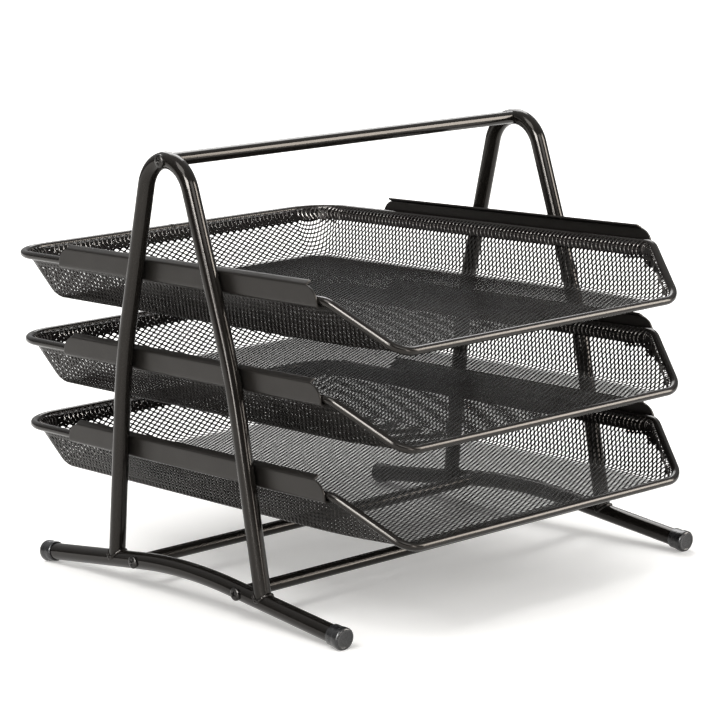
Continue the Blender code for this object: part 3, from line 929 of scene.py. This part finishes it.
def net_meshes():
    """The expanded sheet of one tray, cut across into a mesh for each of NET_PARTS.

    Each diamond has a hole with its own rim of strand half as wide as the strands between two
    holes, and one edge of a hole stands higher than the other.
    """
    pan = Pan()
    size = np.array([LONG_WAY / 2, SHORT_WAY / 2])
    cells = diamonds(pan, size)
    corners = np.array([(1, 0), (0, 1), (-1, 0), (0, -1)], float)
    rim = np.array(HOLE_SHAPE)
    open_share = np.where(pan.pressed(np.abs(cells[:, 0]), cells[:, 1]), HEM_HOLES, 1.0)
    hole = cells[:, None] + rim * size * open_share[:, None, None]
    keys = np.round((cells[:, None] + corners * size) / size).astype(int).reshape(-1, 2)
    shared, bond = np.unique(keys, axis=0, return_inverse=True)
    flat = np.concatenate([shared * size, hole.reshape(-1, 2)])
    tilt = np.sign(rim[:, 1]) * STRAND_TILT
    lift = np.concatenate([np.zeros(len(shared)), np.tile(tilt, len(cells))])
    point, normal = pan.bend(np.abs(flat[:, 0]), flat[:, 1])
    sign = np.where(flat[:, 0] < 0, -1.0, 1.0)
    point[:, 0] *= sign
    normal[:, 0] *= sign
    sides = [point + normal * (lift + side * SHEET / 2)[:, None] for side in (1, -1)]
    verts = np.concatenate(sides)
    around = len(shared) + np.arange(len(cells) * len(rim)).reshape(-1, len(rim))
    faces = diamond_faces(bond.reshape(len(cells), 4), around, len(flat))
    made = []
    order = np.argsort(cells[:, 1], kind="stable")
    for name, chunk in zip(NET_PARTS, np.array_split(order, len(NET_PARTS))):
        used, local = np.unique(faces[chunk].reshape(-1, 4), return_inverse=True)
        made.append(net_mesh("net_" + name, verts[used], local.reshape(-1, 4)))
    return made


def net_mesh(name, verts, faces):
    """A mesh of quads, where a quad that names a point twice in a row is a triangle."""
    triangle = (faces[:, 2] == faces[:, 3]) | (faces[:, 0] == faces[:, 1])
    tri, quad = faces[triangle], faces[~triangle]
    tri = np.where((tri[:, 2] == tri[:, 3])[:, None], tri[:, :3], tri[:, 1:])
    mesh = bpy.data.meshes.new(name)
    mesh.vertices.add(len(verts))
    mesh.vertices.foreach_set("co", verts.astype(np.float32).ravel())
    corners = np.concatenate([quad.ravel(), tri.ravel()])
    starts = np.concatenate([np.arange(len(quad)) * 4, quad.size + np.arange(len(tri)) * 3])
    mesh.loops.add(len(corners))
    mesh.loops.foreach_set("vertex_index", corners.astype(np.int32))
    mesh.polygons.add(len(starts))
    mesh.polygons.foreach_set("loop_start", starts.astype(np.int32))
    mesh.update(calc_edges=True)
    mesh.validate()
    mesh.shade_flat()
    return mesh


def build_trays(paint):
    """Each tray's rim, the weld in it, its net in three parts, and the strands along its hem."""
    nets = net_meshes()
    for tier, height in TIERS.items():

        def add(name, mesh, finish, slot, *nodes):
            at = Matrix.Translation((0, 0, height))
            made = [f"{tier}_tray_{node}" for node in nodes]
            piece(f"{tier}_{name}", moved(mesh, at), paint[finish], f"{tier}_tray", slot, made)

        add("rim_wire", MESH["rim"], "wire", "wire_paint", "rim")
        add("rim_weld", MESH["butt"], "wire", "wire_paint")
        # the hem strands get the net's paint with a lighter tone, a painted sheen
        add("hem_strands", MESH["hooks"], "hem", "mesh_paint")
        for name, net in zip(NET_PARTS, nets):
            nodes = ["basket"] if net is nets[0] else []
            add("net_" + name, net, "net", "mesh_paint", *nodes)


# ---------------------------------------------------------------- studio


def build_camera():
    """A long lens from the front left, a little above the trays."""
    data = bpy.data.cameras.new("camera")
    data.lens = LENS
    data.sensor_width = SENSOR
    data.clip_end = 20
    camera = bpy.data.objects.new("camera", data)
    yaw, pitch, roll = (math.radians(angle) for angle in CAMERA_TURN)
    level_x, level_y = -math.sin(yaw), math.cos(yaw)
    ahead = Vector((level_x * math.cos(pitch), level_y * math.cos(pitch), math.sin(pitch)))
    right = Vector((math.cos(yaw), math.sin(yaw), 0))
    above = right.cross(ahead)
    c, s = math.cos(roll), math.sin(roll)
    level, high = c * right + s * above, c * above - s * right
    turn = Matrix((level, high, -ahead)).transposed().to_4x4()
    camera.matrix_world = Matrix.Translation(CAMERA_AT) @ turn
    bpy.context.scene.collection.objects.link(camera)
    bpy.context.scene.camera = camera


def area_light(name, at, size, power, colour=(1, 1, 1), glossy=None):
    """A softbox turned to the object; one with a glossy collection only makes highlights there."""
    data = bpy.data.lights.new(name, "AREA")
    data.shape = "RECTANGLE"
    data.size, data.size_y = size
    data.energy = power
    data.color = colour
    light = bpy.data.objects.new(name, data)
    light.location = at
    light.rotation_euler = (LIT_POINT - Vector(at)).to_track_quat("-Z", "Y").to_euler()
    if glossy:
        light.visible_diffuse = False
        light.light_linking.receiver_collection = glossy
    bpy.context.scene.collection.objects.link(light)


def build_floor():
    """White paper that glows a little more the further it is from the object."""
    half = FLOOR_HALF
    corners = [(-half, -half, 0), (half, -half, 0), (half, half, 0), (-half, half, 0)]
    mesh = bpy.data.meshes.new("floor")
    mesh.from_pydata(corners, [], [(0, 1, 2, 3)])
    floor = bpy.data.objects.new("floor", mesh)
    bpy.context.scene.collection.objects.link(floor)
    nodes = Nodes("floor_paper")
    inputs = nodes.shader.inputs
    inputs["Base Color"].default_value = (0.88, 0.87, 0.85, 1)
    inputs["Roughness"].default_value = 0.8
    inputs["Emission Color"].default_value = (1.0, 0.985, 0.96, 1)
    away = nodes.add("ShaderNodeVectorMath", {0: nodes.place()}, operation="LENGTH")
    glow = nodes.span(away.outputs["Value"], 0.30, 0.65, 0.5, 3.0)
    nodes.feed(inputs["Emission Strength"], glow)
    mesh.materials.append(nodes.material)


def build_lights():
    """Three softboxes, and panels that only draw highlights along everything but the nets."""
    area_light("key", (-1.5, -0.2, 2.2), (1.3, 1.3), 36)
    area_light("front", (-0.2, -2.3, 1.6), (1.4, 0.8), 16)
    area_light("back", (1.3, 1.5, 2.0), (1.6, 1.6), 45)
    glossy = bpy.data.collections.new("glossy")
    for obj in bpy.context.scene.objects:
        if obj.type == "MESH" and "_net_" not in obj.name:
            glossy.objects.link(obj)
    white = (1, 1, 1)
    for name, at, size, power, colour in (
        ("left_panel", (-1.89, -1.00, 1.24), (1.1, 0.9), 120, white),
        ("left_foot_panel", (-2.15, -1.05, 0.36), (0.5, 0.7), 24, white),
        ("right_panel", (1.61, -1.67, 0.80), (0.8, 1.45), 70, (1.0, 0.94, 0.87)),
        ("right_foot_panel", (0.21, -2.37, 0.48), (0.35, 0.9), 12, (1.0, 0.95, 0.9)),
    ):
        area_light(name, at, size, power, colour, glossy)


def build_world():
    """White to the eye; to the object, bright above and a little behind, and dim below."""
    world = bpy.data.worlds.new("studio")
    world.use_nodes = True
    tree = world.node_tree
    tree.nodes.remove(tree.nodes["Background"])

    def add(kind, links=(), operation=None, **values):
        node = tree.nodes.new(kind)
        if operation:
            node.operation = operation
        for socket, value in values.items():
            node.inputs[socket.replace("_", " ")].default_value = value
        for socket, source in dict(links).items():
            tree.links.new(source, node.inputs[socket])
        return node

    way = add("ShaderNodeTexCoord").outputs["Generated"]
    height = add("ShaderNodeVectorMath", {0: way}, operation="DOT_PRODUCT")
    height.inputs[1].default_value = (0.20, 0.23, 0.95)
    reach = {"From_Min": 0.1, "From_Max": 0.9, "To_Min": 0.12, "To_Max": 0.8}
    strength = add("ShaderNodeMapRange", {"Value": height.outputs["Value"]}, **reach)
    white = (1, 1, 1, 1)
    lit = add("ShaderNodeBackground", {"Strength": strength.outputs["Result"]}, Color=white)
    seen = add("ShaderNodeBackground", Color=white)
    camera_ray = add("ShaderNodeLightPath").outputs["Is Camera Ray"]
    mixed = add("ShaderNodeMixShader", {0: camera_ray, 1: lit.outputs[0], 2: seen.outputs[0]})
    tree.links.new(mixed.outputs[0], tree.nodes["World Output"].inputs["Surface"])
    bpy.context.scene.world = world


# ---------------------------------------------------------------- whole object

FINISHES = {  # dark tone, light tone, roughness, orange peel and specular level
    "tube": ((0.0065, 0.0056, 0.0048), (0.0100, 0.0088, 0.0076), 0.13, 0.02, 0.25),
    "weld": ((0.0060, 0.0052, 0.0046), (0.0095, 0.0084, 0.0074), 0.24, 0.20, 0.25),
    "wire": ((0.0065, 0.0056, 0.0048), (0.0100, 0.0088, 0.0076), 0.19, 0.02, 0.30),
    "rail": ((0.0090, 0.0081, 0.0072), (0.0125, 0.0112, 0.0100), 0.34, 0.05, 0.30),
    "net": ((0.0050, 0.0045, 0.0040), (0.0085, 0.0076, 0.0068), 0.22, 0.03, 0.22),
    # the hem's strands: the net's paint with a lighter tone, a painted sheen, and a much higher
    # specular level
    "hem": ((0.0080, 0.0072, 0.0064), (0.0130, 0.0117, 0.0104), 0.26, 0.03, 0.90),
}
PAINT = {name: powder_coat(name + "_paint_look", *look) for name, look in FINISHES.items()}
PAINT["plastic"] = speckled(
    "cap_plastic_look",
    dark=(0.010, 0.010, 0.011),
    light=(0.020, 0.020, 0.021),
    roughness=(0.20, 0.32),
    scales=(180.0, 350.0, 3200.0),
    tone_detail=3.0,
    relief=0.12,
)
PAINT["screw"] = speckled(
    "screw_steel_look",
    dark=(0.020, 0.019, 0.018),
    light=(0.060, 0.057, 0.054),
    roughness=(0.22, 0.42),
    scales=(500.0, 900.0, 4000.0),
    tone_detail=4.0,
    relief=0.15,
    metallic=0.9,
)
MESH = {
    "base": base_tube_mesh(),
    "cap": foot_cap_mesh(),
    "hoop_screw": screw_mesh(HOOP_D),
    "base_screw": screw_mesh(BASE_D),
    "rail": rail_mesh(),
    "rim": rim_mesh(),
    "butt": butt_weld_mesh(),
    "hooks": hook_mesh(),
}
build_side("left", PAINT)
build_side("right", PAINT)
build_bars(PAINT)
build_trays(PAINT)
build_camera()
build_floor()
build_world()
build_lights()
bpy.context.scene.view_settings.view_transform = "Standard"
